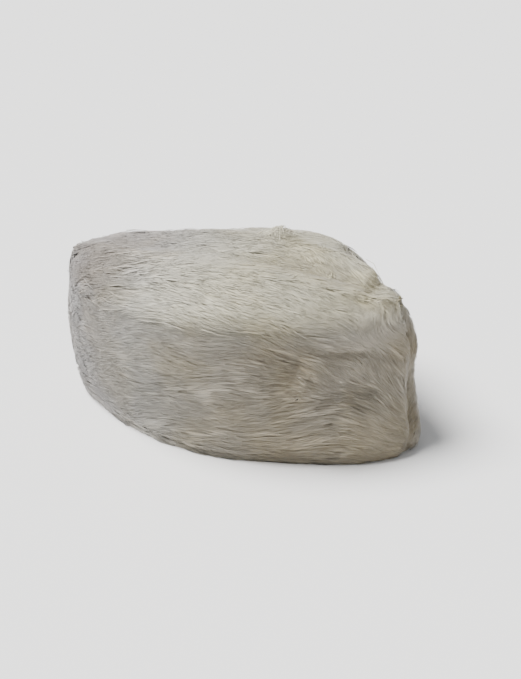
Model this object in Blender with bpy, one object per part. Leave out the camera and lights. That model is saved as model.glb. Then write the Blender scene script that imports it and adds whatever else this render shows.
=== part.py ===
# Deep fur cap in the folded boat shape, standing on its rim.
# Two side panels meet at a front and a back seam, and a creased crown lies between them.
# Units are metres. Z is up, the front seam is at +X and the rim rests on Z = 0.
import math
import random

import bmesh
import bpy
from mathutils import Vector

NAME = "gandhi_cap"

# Shift that puts the middle of the cap's own box over the origin
BOX_SHIFT = (-0.0004, 0.00325, 0.0)

# Overall thickness and gaps
WALL = 0.0095
SEAM_GAP = 0.0003
CROWN_TIP_GAP = 0.0006
RIDGE_WALL = 0.0030

# Mesh density: columns run with the nap, rows run from the rim to the ridge
COLUMNS = 28
ROWS_PER_BAND = (3, 10, 11, 14)
CROWN_ROWS = 16

# Ridge and crown
ARCH = 0.0150
ARCH_HALF_LENGTH = 0.1274
CREASE_DEPTH = 0.0045

# Fur locks: they lie along the wall with their tips towards the front
LOCK_LENGTH = 0.046
LOCK_HEIGHT = 0.0024
LOCK_VALLEY = 0.0011
LOCK_SWAY = 0.14
SWAY_LENGTH = 0.085
SEAM_SINK = 0.0018
FRONT_SEAM_LEAN = 0.0080

# One row for each level of the outside, from the rim up to the ridge
# level: height, half_length, half_width, pointedness, lift_share, centre_shift, front_skew
OUTSIDE = (
    ("rim", 0.0000, 0.1282, 0.0727, 1.24, 0.00, 0.0000, 0.0000),
    ("hem", 0.0100, 0.1312, 0.0757, 1.24, 0.01, -0.0003, 0.0004),
    ("waist", 0.0456, 0.1274, 0.0810, 1.24, 0.21, -0.0014, 0.0022),
    ("shoulder", 0.0866, 0.1224, 0.0863, 1.38, 0.74, -0.0032, 0.0052),
    ("ridge", 0.1005, 0.1179, 0.0332, 1.50, 1.00, -0.0045, 0.0075),
)

# How far the inside lies within the outside at each level
# level: lower_by, shorter_by, narrower_by
INSIDE = (
    ("rim", 0.0000, WALL, WALL),
    ("hem", 0.0000, WALL, WALL),
    ("waist", 0.0000, WALL, WALL),
    ("shoulder", 0.0060, WALL, WALL),
    ("ridge", WALL, WALL, RIDGE_WALL),
)

# Rise and fall of the two ridges along the cap, added to the arch
# along is a share of the half length, from the back at -1 to the front at 1
# along, left_rise, right_rise
RIDGE_LINE = (
    (-1.00, 0.0030, 0.0030),
    (-0.85, 0.0020, 0.0020),
    (-0.60, -0.0010, 0.0000),
    (-0.30, 0.0000, -0.0015),
    (0.00, 0.0000, 0.0000),
    (0.30, 0.0020, 0.0010),
    (0.60, 0.0050, 0.0000),
    (0.85, 0.0020, -0.0010),
    (1.00, 0.0000, 0.0000),
)

# Dents and swellings of the wall; a negative depth is a swelling
# name, side, along, height, reach_along, reach_up, depth
DENTS = (
    ("front hollow", "right", 0.112, 0.054, 0.015, 0.014, 0.0050),
    ("front crease", "right", 0.100, 0.080, 0.016, 0.006, 0.0030),
    ("front fold", "right", 0.088, 0.064, 0.011, 0.015, -0.0030),
    ("fold valley", "right", 0.071, 0.060, 0.007, 0.016, 0.0028),
    ("rim tuck", "right", 0.070, 0.010, 0.030, 0.006, 0.0020),
    ("side slump", "right", -0.020, 0.030, 0.050, 0.018, 0.0012),
    ("front hollow", "left", 0.100, 0.050, 0.018, 0.016, 0.0035),
    ("side slump", "left", 0.000, 0.040, 0.045, 0.018, 0.0025),
    ("back hollow", "left", -0.085, 0.060, 0.018, 0.014, 0.0025),
)

# Places where the soft shoulder has slumped straight down and in
# name, side, along, height, reach_along, reach_up, drop, draw_in
SLUMPS = (
    ("front shoulder", "left", 0.085, 0.098, 0.020, 0.024, 0.0110, 0.0070),
    ("back shoulder", "left", -0.064, 0.102, 0.036, 0.024, 0.0045, 0.0015),
)

# Tufts of fur that stand up from the crown; across runs from the right ridge at -1 to 1
# name, along, across, reach_along, reach_across, height
TUFTS = (
    ("middle tuft", 0.017, 0.80, 0.007, 0.22, 0.0060),
    ("front tuft", 0.062, 0.55, 0.009, 0.30, 0.0035),
    ("back tuft", -0.060, 0.70, 0.012, 0.30, 0.0025),
)

FUR_COLOUR = (0.56, 0.53, 0.47, 1.0)
FUR_ROUGHNESS = 0.85


def clear_scene():
    for old in list(bpy.data.objects):
        bpy.data.objects.remove(old, do_unlink=True)


def smooth_value(values, position):
    """Cubic through evenly spaced values that never overshoots them."""
    last = len(values) - 1
    steps = [values[k + 1] - values[k] for k in range(last)]
    slopes = [steps[0]]
    for k in range(1, last):
        before, after = steps[k - 1], steps[k]
        flat = before * after <= 0.0
        slopes.append(0.0 if flat else 2.0 * before * after / (before + after))
    slopes.append(steps[-1])
    start = min(int(position), last - 1)
    f = position - start
    rise = values[start + 1] - values[start]
    curve = (3.0 - 2.0 * f) * f * f * rise
    bend = f * (1.0 - f) * ((1.0 - f) * slopes[start] - f * slopes[start + 1])
    return values[start] + curve + bend


def level_value(table, column, position):
    return smooth_value([row[column] for row in table], position)


def ridge_rise(along, side):
    column = 1 if side > 0 else 2
    for low, high in zip(RIDGE_LINE, RIDGE_LINE[1:]):
        if along <= high[0] or high is RIDGE_LINE[-1]:
            f = (along - low[0]) / (high[0] - low[0])
            f = min(max(f, 0.0), 1.0)
            f = f * f * (3.0 - 2.0 * f)
            return low[column] + f * (high[column] - low[column])
    return 0.0


def plan_shape(angle, pointedness):
    """Unit plan: 1 is an ellipse, and more draws the two ends out to a point."""
    c, s = math.cos(angle), math.sin(angle)
    return c, math.copysign(abs(s) ** pointedness, s)


def wall_angle(u, level, side):
    """Angle round the plan, from the front seam to the back seam."""
    height = level_value(OUTSIDE, 1, level)
    top = OUTSIDE[-1][1]
    lean = FRONT_SEAM_LEAN * (1.0 - height / top)
    share = lean / level_value(OUTSIDE, 3, level)
    front = -share ** (1.0 / level_value(OUTSIDE, 4, level))
    back = math.pi
    if side > 0:
        return front + (back - front) * u
    return front + (-back - front) * u


def wall_point(u, level, side, inside=0.0, tip_inset=0.0, side_inset=0.0):
    """Point of the side wall; inside runs from 0 at the outside to 1 at the inside."""
    height = level_value(OUTSIDE, 1, level)
    length = level_value(OUTSIDE, 2, level)
    width = level_value(OUTSIDE, 3, level)
    pointedness = level_value(OUTSIDE, 4, level)
    lift = level_value(OUTSIDE, 5, level)
    c, s = plan_shape(wall_angle(u, level, side), pointedness)
    along = c * length / ARCH_HALF_LENGTH
    rise = lift * ARCH * (1.0 - along * along)
    rise += lift * lift * ridge_rise(c, side)
    centre = level_value(OUTSIDE, 6, level) + c * level_value(OUTSIDE, 7, level)
    x = c * (length - inside * level_value(INSIDE, 2, level) - tip_inset)
    y = s * (width - inside * level_value(INSIDE, 3, level) - side_inset)
    z = height - inside * level_value(INSIDE, 1, level) + rise
    return Vector((x, y + centre, z))


def wall_normal(u, level, side):
    top = len(OUTSIDE) - 1
    u_low, u_high = max(u - 0.01, 0.0), min(u + 0.01, 1.0)
    l_low, l_high = max(level - 0.02, 0.0), min(level + 0.02, top)
    along = wall_point(u_high, level, side) - wall_point(u_low, level, side)
    up = wall_point(u, l_high, side) - wall_point(u, l_low, side)
    normal = along.cross(up).normalized()
    return normal * side


def dent_depth(point, side):
    name = "left" if side > 0 else "right"
    total = 0.0
    for _, where, along, height, reach_along, reach_up, depth in DENTS:
        if where == name:
            x = (point.x - along) / reach_along
            z = (point.z - height) / reach_up
            total += depth * math.exp(-0.5 * (x * x + z * z))
    return total


def slump(point, side):
    name = "left" if side > 0 else "right"
    moved = Vector((0.0, 0.0, 0.0))
    for _, where, along, height, reach_along, reach_up, drop, draw_in in SLUMPS:
        if where == name:
            x = (point.x - along) / reach_along
            z = (point.z - height) / reach_up
            share = math.exp(-0.5 * (x * x + z * z))
            moved += share * Vector((0.0, -side * draw_in, -drop))
    return moved


def lock_relief(row, along, starts):
    """Height of the pile: odd rows are the backs of locks, even rows the valleys."""
    start, size = starts[row]
    if row % 2 == 0:
        return -LOCK_VALLEY * size
    share = (along / LOCK_LENGTH + start) % 1.0
    return LOCK_HEIGHT * size * (0.15 + 0.85 * share) - 0.25 * LOCK_HEIGHT


def lock_starts(count, seed):
    chance = random.Random(seed)
    return [(chance.random(), chance.uniform(0.7, 1.3)) for _ in range(count + 1)]


def swayed_level(u, levels, row):
    """Level of a row, waved gently along the cap so that the locks wander together."""
    top = levels[-1]
    level = levels[row]
    fade = math.sin(math.pi * u) * math.sin(math.pi * level / top)
    turn = 2.0 * math.pi * (u * 0.32 / SWAY_LENGTH) + 1.3 * level
    return level + LOCK_SWAY * fade * math.sin(turn)


def slab(columns, rows):
    """Closed flat slab: X is the column, Y the row, Z is 0 outside and 1 inside."""
    mesh = bmesh.new()
    bmesh.ops.create_grid(mesh, x_segments=columns, y_segments=rows, size=0.5)
    grown = bmesh.ops.extrude_face_region(mesh, geom=mesh.faces[:], use_keep_orig=True)
    corners = [item for item in grown["geom"] if isinstance(item, bmesh.types.BMVert)]
    bmesh.ops.translate(mesh, vec=(0.0, 0.0, 1.0), verts=corners)
    for corner in mesh.verts:
        corner.co.x = round((corner.co.x + 0.5) * columns)
        corner.co.y = round((corner.co.y + 0.5) * rows)
        corner.co.z = round(corner.co.z)
    return mesh


def finish(mesh, name, collection, material):
    bmesh.ops.remove_doubles(mesh, verts=mesh.verts[:], dist=0.00001)
    bmesh.ops.recalc_face_normals(mesh, faces=mesh.faces[:])
    if mesh.calc_volume(signed=True) < 0.0:
        bmesh.ops.reverse_faces(mesh, faces=mesh.faces[:])
    data = bpy.data.meshes.new(name)
    mesh.to_mesh(data)
    mesh.free()
    data.materials.append(material)
    data.shade_smooth()
    data.set_sharp_from_angle(angle=math.radians(60.0))
    panel = bpy.data.objects.new(name, data)
    collection.objects.link(panel)
    return panel


def fur_material(name):
    material = bpy.data.materials.new(name)
    material.use_nodes = True
    shader = material.node_tree.nodes["Principled BSDF"]
    shader.inputs["Base Color"].default_value = FUR_COLOUR
    shader.inputs["Roughness"].default_value = FUR_ROUGHNESS
    shader.inputs["Metallic"].default_value = 0.0
    material.diffuse_color = FUR_COLOUR
    return material


def level_rows():
    """Level of each row: whole numbers are the rows of the OUTSIDE table."""
    levels = [0.0]
    for band, count in enumerate(ROWS_PER_BAND):
        levels += [band + (k + 1) / count for k in range(count)]
    return levels


def side_panel(name, side, seed, collection, material):
    levels = level_rows()
    rows = len(levels) - 1
    starts = lock_starts(rows, seed)
    mesh = slab(COLUMNS, rows)
    for corner in mesh.verts:
        column, row, inside = int(corner.co.x), int(corner.co.y), corner.co.z
        u = column / COLUMNS
        level = swayed_level(u, levels, row)
        point = wall_point(u, level, side, inside)
        at_seam = column in (0, COLUMNS)
        normal = wall_normal(u, level, side)
        from_edge = min(column, COLUMNS - column, rows - row)
        outer = wall_point(u, level, side)
        if row > 0:
            share = min(1.0, from_edge / 3.0)
            point += share * (slump(outer, side) - normal * dent_depth(outer, side))
        if inside == 0.0 and row > 0:
            if at_seam:
                normal = Vector((math.copysign(1.0, point.x), 0.0, 0.0))
                raised = -SEAM_SINK * min(1.0, row / 2.0, (rows - row) / 3.0)
            else:
                raised = min(from_edge, 2) / 2.0 * lock_relief(row, point.x, starts)
            if row < 3:
                raised *= 0.5
            point += normal * raised
        point.z = max(point.z, 0.0)
        corner.co = point
    panel = finish(mesh, name, collection, material)
    panel.location.y = 0.5 * SEAM_GAP * side
    return panel


def crown_width(u):
    top = len(OUTSIDE) - 1
    return (wall_point(u, top, 1) - wall_point(u, top, -1)).length


def crown_point(u, across, inside):
    top = len(OUTSIDE) - 1
    inset = 0.5 * SEAM_GAP
    left = wall_point(u, top, 1, inside, CROWN_TIP_GAP, inset)
    right = wall_point(u, top, -1, inside, CROWN_TIP_GAP, inset)
    share = 0.5 * (across + 1.0)
    point = right.lerp(left, share)
    fold = CREASE_DEPTH * (1.0 - abs(across)) ** 0.9 * min(1.0, (crown_width(u) / 0.035) ** 2)
    point.z -= fold
    return point


def tuft_height(point, across):
    total = 0.0
    for _, along, where, reach_along, reach_across, height in TUFTS:
        x = (point.x - along) / reach_along
        v = (across - where) / reach_across
        total += height * math.exp(-0.5 * (x * x + v * v))
    return total


def crown_panel(name, seed, collection, material):
    starts = lock_starts(CROWN_ROWS, seed)
    mesh = slab(COLUMNS, CROWN_ROWS)
    for corner in mesh.verts:
        column, row, inside = int(corner.co.x), int(corner.co.y), corner.co.z
        across = 2.0 * row / CROWN_ROWS - 1.0
        point = crown_point(column / COLUMNS, across, inside)
        if inside == 0.0 and 0 < row < CROWN_ROWS:
            near_tip = min(1.0, crown_width(column / COLUMNS) / 0.030)
            raised = lock_relief(row, point.x, starts) + tuft_height(point, across)
            point.z += near_tip * raised
        corner.co = point
    return finish(mesh, name, collection, material)


def build():
    clear_scene()
    collection = bpy.data.collections.new(NAME)
    bpy.context.scene.collection.children.link(collection)
    anchor = bpy.data.objects.new("cap_origin", None)
    anchor.location = BOX_SHIFT
    collection.objects.link(anchor)
    panels = (
        side_panel("side_panel_left", 1, 11, collection, fur_material("left_fur")),
        side_panel("side_panel_right", -1, 12, collection, fur_material("right_fur")),
        crown_panel("crown_panel", 13, collection, fur_material("crown_fur")),
    )
    for panel in panels:
        panel.parent = anchor


build()
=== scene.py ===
# Cream fur cap in the folded boat shape: lying pile, creased crown and open head cavity.
import math

import bmesh
import bpy
import numpy as np
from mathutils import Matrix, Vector


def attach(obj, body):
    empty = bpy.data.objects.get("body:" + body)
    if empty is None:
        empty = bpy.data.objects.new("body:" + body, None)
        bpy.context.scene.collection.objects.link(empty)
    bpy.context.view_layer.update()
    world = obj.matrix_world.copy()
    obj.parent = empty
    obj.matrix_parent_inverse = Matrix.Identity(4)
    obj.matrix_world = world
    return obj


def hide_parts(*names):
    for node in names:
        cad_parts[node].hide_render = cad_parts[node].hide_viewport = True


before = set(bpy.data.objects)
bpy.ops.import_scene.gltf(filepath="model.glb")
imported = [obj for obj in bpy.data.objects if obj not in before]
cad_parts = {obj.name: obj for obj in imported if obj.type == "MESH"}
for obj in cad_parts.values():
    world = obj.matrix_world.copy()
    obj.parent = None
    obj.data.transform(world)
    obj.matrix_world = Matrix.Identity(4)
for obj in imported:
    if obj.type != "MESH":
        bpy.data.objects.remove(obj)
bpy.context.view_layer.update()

# Sizes of the cap, the same as the solids use
BOX_SHIFT = (-0.0004, 0.00325, 0.0)
WALL = 0.0095
RIDGE_WALL = 0.0030
SEAM_GAP = 0.0003
CROWN_TIP_GAP = 0.0006
ARCH = 0.0150
ARCH_HALF_LENGTH = 0.1274
CREASE_DEPTH = 0.0045
FRONT_SEAM_LEAN = 0.0080
COLUMNS = 28
ROWS_PER_BAND = (3, 10, 11, 14)
ROWS = sum(ROWS_PER_BAND)

# level: height, half_length, half_width, pointedness, lift_share, centre_shift, front_skew
OUTSIDE = (
    (0.0, 0.1282, 0.0727, 1.24, 0.0, 0.0, 0.0),
    (0.01, 0.1312, 0.0757, 1.24, 0.01, -0.0003, 0.0004),
    (0.0456, 0.1274, 0.081, 1.24, 0.21, -0.0014, 0.0022),
    (0.0866, 0.1224, 0.0863, 1.38, 0.74, -0.0032, 0.0052),
    (0.1005, 0.1179, 0.0332, 1.5, 1.0, -0.0045, 0.0075),
)
# level: lower_by, shorter_by, narrower_by
INSIDE = (
    (0.0, WALL, WALL),
    (0.0, WALL, WALL),
    (0.0, WALL, WALL),
    (0.006, WALL, WALL),
    (WALL, WALL, RIDGE_WALL),
)
# along, left_rise, right_rise
RIDGE_LINE = (
    (-1.0, 0.003, 0.003),
    (-0.85, 0.002, 0.002),
    (-0.6, -0.001, 0.0),
    (-0.3, 0.0, -0.0015),
    (0.0, 0.0, 0.0),
    (0.3, 0.002, 0.001),
    (0.6, 0.005, 0.0),
    (0.77, 0.0042, 0.0),
    (0.84, -0.0026, -0.0026),
    (0.93, -0.0012, -0.001),
    (1.0, -0.0006, -0.0006),
)
# side, along, height, reach_along, reach_up, depth
DENTS = (
    (-1, 0.112, 0.054, 0.015, 0.014, 0.005),
    (-1, 0.1, 0.08, 0.016, 0.006, 0.003),
    (-1, 0.088, 0.064, 0.011, 0.015, -0.003),
    (-1, 0.071, 0.06, 0.007, 0.016, 0.0028),
    (-1, 0.07, 0.01, 0.03, 0.006, 0.002),
    (-1, -0.02, 0.03, 0.05, 0.018, 0.0012),
    (1, 0.1, 0.05, 0.018, 0.016, 0.0035),
    (1, 0.0, 0.04, 0.045, 0.018, 0.0025),
    (1, -0.085, 0.06, 0.018, 0.014, 0.0025),
)
# side, along, height, reach_along, reach_up, drop, draw_in
SLUMPS = (
    (1, 0.085, 0.098, 0.02, 0.024, 0.011, 0.007),
    (1, -0.064, 0.102, 0.036, 0.024, 0.0045, 0.0015),
)

# Sharper folds of the pile on the right wall, on top of the broad ones above
# along, height, reach_along, reach_up, depth
CREASES = (
    (0.107, 0.05, 0.007, 0.0105, 0.005),
    (0.096, 0.077, 0.008, 0.004, -0.0012),
    (0.095, 0.0788, 0.007, 0.0018, 0.0016),
    (0.106, 0.0768, 0.007, 0.002, 0.0026),
    (0.115, 0.07, 0.005, 0.0034, 0.0026),
    (0.095, 0.03, 0.01, 0.005, 0.0016),
    (0.0, 0.0034, 0.045, 0.0014, 0.0014),
)
# The edge of the big fold: it leans forward as it rises, and the pile stands out in front of it
FOLD_FOOT, FOLD_FOOT_HEIGHT, FOLD_LEAN = 0.0740, 0.052, 0.36
FOLD_STEP, FOLD_FADE, FOLD_MIDDLE, FOLD_REACH = 0.0052, 0.014, 0.062, 0.015
FOLD_START, FOLD_RUN = 0.0012, 0.0028
# The ends swell out and draw in: end, height, reach_up, push
END_SWELLS = (
    (1, 0.072, 0.009, 0.003),
    (1, 0.008, 0.014, 0.0018),
    (-1, 0.0, 0.018, -0.003),
    (-1, 0.055, 0.022, 0.0044),
    (-1, 0.099, 0.006, 0.0058),
)
# The rim of the right wall is drawn in: along, reach_along, reach_up, draw_in
RIM_DRAWS = ((0.070, 0.020, 0.011, 0.0042), (-0.078, 0.030, 0.018, 0.0034))
BACK_TIP_DROP = 0.0046      # how far the ridges sink at the back tip

# The dents and slumps fade out within this many columns or rows of a panel's edge
EDGE_COLUMNS = 3.0
# The ends swell from this far along, over this run, and the back tip sinks from this share of the
# half length on, over this share
END_FROM, END_RUN = 0.095, 0.03
TIP_FROM, TIP_RUN = 0.80, 0.20

# Fur
BASE_SINK = 0.0018          # how far the woven ground lies below the pile's surface
LEAST_SINK = 0.0013         # and how far at the least
GROUND_COLUMNS = 97         # points of the woven ground from the front seam to the back
GRID_U, GRID_V = 225, 153   # sampling of each surface for the strands to follow
PATH_STEPS = 9              # points of the line that a lock follows
MIDDLE = PATH_STEPS // 2
MOST_MOVE = 0.15            # a path moves by no more than this in w at a step
CROWN_BARE = 0.006          # no strand starts on the crown this close to its front tip
FLOOR_GAP = 0.0002          # the strands at the rim stop this far above the floor
CLOSING = (0.2, 0.7)        # share by which a lock's strands draw together at their tips
LEAST_SMOOTH = 0.3          # strands with a sharper bend than this cosine are left out
# How far a strand's shading follows the cap's own surface, and how far its own roundness
FOLLOW_SURFACE, FOLLOW_ROUNDNESS = 1.0, 0.55


def ease(t):
    """Rise from 0 to 1 that starts and ends gently."""
    return t * t * (3.0 - 2.0 * t)


def fade(distance, reach):
    """Share that falls from 1 at no distance to nothing well past the reach."""
    return np.exp(-((distance / reach) ** 2))


def bell(x, y, at_x, at_y, reach_x, reach_y):
    """Share that falls from 1 at a place to nothing well past its two reaches."""
    return np.exp(-0.5 * (((x - at_x) / reach_x) ** 2 + ((y - at_y) / reach_y) ** 2))


def on_crown(w):
    """Whether places lie between the ridges. Neither this nor on_wall takes in the ridges."""
    return np.abs(w - 1.5) < 0.5


def on_wall(w):
    return np.abs(w - 1.5) > 0.5


def grid(columns, rows):
    return np.meshgrid(np.linspace(0, 1, columns), np.linspace(0, 1, rows), indexing="ij")


def add_object(name, data):
    made = bpy.data.objects.new(name, data)
    bpy.context.scene.collection.objects.link(made)
    return made


def table_column(table, column, position):
    """Cubic through evenly spaced table values that never overshoots them, for an array."""
    values = np.array([row[column] for row in table], float)
    steps = np.diff(values)
    slopes = np.zeros(len(values))
    slopes[0], slopes[-1] = steps[0], steps[-1]
    before, after = steps[:-1], steps[1:]
    same_way = before * after > 0.0
    total = np.where(same_way, before + after, 1.0)
    slopes[1:-1] = np.where(same_way, 2.0 * before * after / total, 0.0)
    position = np.clip(position, 0.0, len(values) - 1.0)
    start = np.minimum(position.astype(int), len(values) - 2)
    f = position - start
    rise = values[start + 1] - values[start]
    bend = f * (1.0 - f) * ((1.0 - f) * slopes[start] - f * slopes[start + 1])
    return values[start] + (3.0 - 2.0 * f) * f * f * rise + bend


def ridge_rise(along, side):
    """How far a ridge rises above its even arch."""
    stations = np.array([row[0] for row in RIDGE_LINE])
    rises = np.array([row[1 if side > 0 else 2] for row in RIDGE_LINE])
    low = np.clip(np.searchsorted(stations, along, side="left") - 1, 0, len(stations) - 2)
    f = np.clip((along - stations[low]) / (stations[low + 1] - stations[low]), 0.0, 1.0)
    return rises[low] + ease(f) * (rises[low + 1] - rises[low])


def wall_point(u, level, side, inside=0.0, tip_inset=0.0, side_inset=0.0):
    """Points of a side wall: u runs from the front seam to the back, level from rim to ridge."""
    height, length, width, pointed, lift, shift, skew = (
        table_column(OUTSIDE, column, level) for column in range(7))
    lower, shorter, narrower = (inside * table_column(INSIDE, column, level) for column in range(3))
    lean = FRONT_SEAM_LEAN * (1.0 - height / OUTSIDE[-1][0])
    front = -np.maximum(lean / width, 0.0) ** (1.0 / pointed)
    angle = front + (side * math.pi - front) * u
    c, s = np.cos(angle), np.sin(angle)
    s = np.sign(s) * np.abs(s) ** pointed
    along = c * length / ARCH_HALF_LENGTH
    rise = lift * ARCH * (1.0 - along * along) + lift * lift * ridge_rise(c, side)
    rise = rise - lift * lift * BACK_TIP_DROP * np.clip((-c - TIP_FROM) / TIP_RUN, 0.0, 1.0) ** 1.5
    x = c * (length - shorter - tip_inset)
    y = s * (width - narrower - side_inset) + (shift + c * skew)
    z = height - lower + rise
    return np.stack([x, y, z], -1)


def row_level(row):
    """Level for a row number, rows being evenly spaced within each band."""
    ends = np.concatenate([[0], np.cumsum(ROWS_PER_BAND)])
    return np.interp(row, ends, np.arange(len(ends)))


def smooth_step(x, low, high):
    return ease(np.clip((x - low) / (high - low), 0.0, 1.0))


def unit(v):
    return v / np.maximum(np.linalg.norm(v, axis=-1, keepdims=True), 1e-12)


def panel_surface(side, u, row, inside=0.0):
    """The soft wall with its dents and slumps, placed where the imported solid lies."""
    level = row_level(row)
    point = wall_point(u, level, side, inside)
    outer = wall_point(u, level, side)
    step_u, step_level = 0.01, 0.02
    top = len(OUTSIDE) - 1.0
    du = (wall_point(np.clip(u + step_u, 0, 1), level, side)
          - wall_point(np.clip(u - step_u, 0, 1), level, side))
    dl = (wall_point(u, np.clip(level + step_level, 0, top), side)
          - wall_point(u, np.clip(level - step_level, 0, top), side))
    normal = unit(np.cross(du, dl)) * side
    from_edge = np.minimum(np.minimum(u, 1.0 - u) * COLUMNS, ROWS - row)
    share = (np.clip(from_edge / EDGE_COLUMNS, 0.0, 1.0) * (row > 0.0))[..., None]
    moved = np.zeros_like(point)
    x, y, z = outer[..., 0], outer[..., 1], outer[..., 2]
    for where, along, height, reach_along, reach_up, depth in DENTS:
        if where == side:
            g = bell(x, z, along, height, reach_along, reach_up)
            moved -= normal * (depth * g)[..., None]
    for where, along, height, reach_along, reach_up, drop, draw_in in SLUMPS:
        if where == side:
            g = bell(x, z, along, height, reach_along, reach_up)
            moved += g[..., None] * np.array([0.0, -side * draw_in, -drop])
    if side < 0 and inside == 0.0:
        for along, height, reach_along, reach_up, depth in CREASES:
            g = bell(x, z, along, height, reach_along, reach_up)
            moved -= normal * (depth * g)[..., None]
        past = x - FOLD_FOOT - FOLD_LEAN * (z - FOLD_FOOT_HEIGHT)
        edge = ease(np.clip((past + FOLD_START) / FOLD_RUN, 0.0, 1.0))
        edge *= np.exp(-np.maximum(past, 0.0) / FOLD_FADE)
        edge *= fade(z - FOLD_MIDDLE, FOLD_REACH)
        moved += normal * (FOLD_STEP * edge)[..., None]
    for end, height, reach_up, push in END_SWELLS:
        g = np.exp(-0.5 * ((z - height) / reach_up) ** 2)
        g *= np.clip((end * x - END_FROM) / END_RUN, 0.0, 1.0)
        point = point + (end * push * g)[..., None] * np.array([1.0, 0.0, 0.0])
    for along, reach_along, reach_up, draw_in in RIM_DRAWS:
        g = bell(x, z, along, 0.0, reach_along, reach_up)
        g = g * (side < 0) * np.clip(-y / 0.02, 0.0, 1.0)
        point = point + (draw_in * g)[..., None] * np.array([0.0, 1.0, 0.0])
    shift = np.array(BOX_SHIFT) + np.array([0.0, 0.5 * SEAM_GAP * side, 0.0])
    return point + share * moved + shift


def crown_surface(u, across, inside=0.0):
    """The crown between the ridges; across runs from the right ridge at -1 to the left at 1."""
    top = np.full_like(u, len(OUTSIDE) - 1.0)
    inset = 0.5 * SEAM_GAP
    left = wall_point(u, top, 1, inside, CROWN_TIP_GAP, inset)
    right = wall_point(u, top, -1, inside, CROWN_TIP_GAP, inset)
    outer_width = np.linalg.norm(wall_point(u, top, 1) - wall_point(u, top, -1), axis=-1)
    point = right + (0.5 * (across + 1.0))[..., None] * (left - right)
    fold = CREASE_DEPTH * np.clip(1.0 - np.abs(across), 0.0, 1.0) ** 0.9
    point[..., 2] -= fold * np.minimum(1.0, (outer_width / 0.035) ** 2)
    return point + np.array(BOX_SHIFT)


def wave_noise(x, y, z, scale, seed):
    """Smooth repeatable noise about zero, made from a few crossed waves."""
    chance = np.random.RandomState(seed)
    total = np.zeros_like(x)
    for _ in range(7):
        d = unit(chance.normal(size=3)) * 2.0 * math.pi / (scale * chance.uniform(0.6, 1.7))
        total += np.sin(x * d[0] + y * d[1] + z * d[2] + chance.uniform(0, 2 * math.pi))
    return total / 3.0


# Where the camera of the photograph stands, as angles round the cap
AZIMUTH, ELEVATION, DISTANCE = 29.07, 25.0, 0.8928
az, el = math.radians(AZIMUTH), math.radians(ELEVATION)
TOWARDS_CAMERA = np.array([math.sin(az) * math.cos(el), -math.cos(az) * math.cos(el), math.sin(el)])
CAMERA_RIGHT = np.array([math.cos(az), math.sin(az), 0.0])
CAMERA_UP = np.cross(TOWARDS_CAMERA, CAMERA_RIGHT)


# The sheet of pile is smoothed over each ridge, this many rows to either side
RIDGE_ROWS, RIDGE_ROUNDS = 8, 60
# The hollow of the far shoulder is filled with pile: rows before and past the left ridge, step
SHOULDER_ROWS, FILL_STEP, FILL_ROUNDS = (-14, 68), 6, 60
# The shading is softened over rows this far apart, less from SOFT_FROM forward, not past SOFT_TO
SOFT_STEP, SOFT_ROUNDS, SOFT_FROM, SOFT_TO = 4, 20, 0.030, 0.070
GROOVE_DEPTH, GROOVE_REACH = 0.0022, 0.0022     # groove of the front seam
# A shallow bed in the pile of the crown: w, reach_w, along, reach_along, depth
BED_W, BED_REACH_W, BED_ALONG, BED_REACH, BED_DEPTH = 1.42, 0.09, 0.045, 0.040, 0.0016
# Soft lumps of pile on the crown: along, w, reach_along, reach_w, height
SWELLS = (
    (0.015, 2.0, 0.006, 0.1, 0.0036),
    (0.019, 2.0, 0.003, 0.1, 0.0018),
    (-0.094, 1.9, 0.01, 0.3, 0.0008),
    (0.07, 2.0, 0.0022, 0.1, 0.001),
    (0.079, 2.0, 0.0022, 0.1, 0.001),
    (0.088, 2.0, 0.0022, 0.1, 0.001),
)


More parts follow.
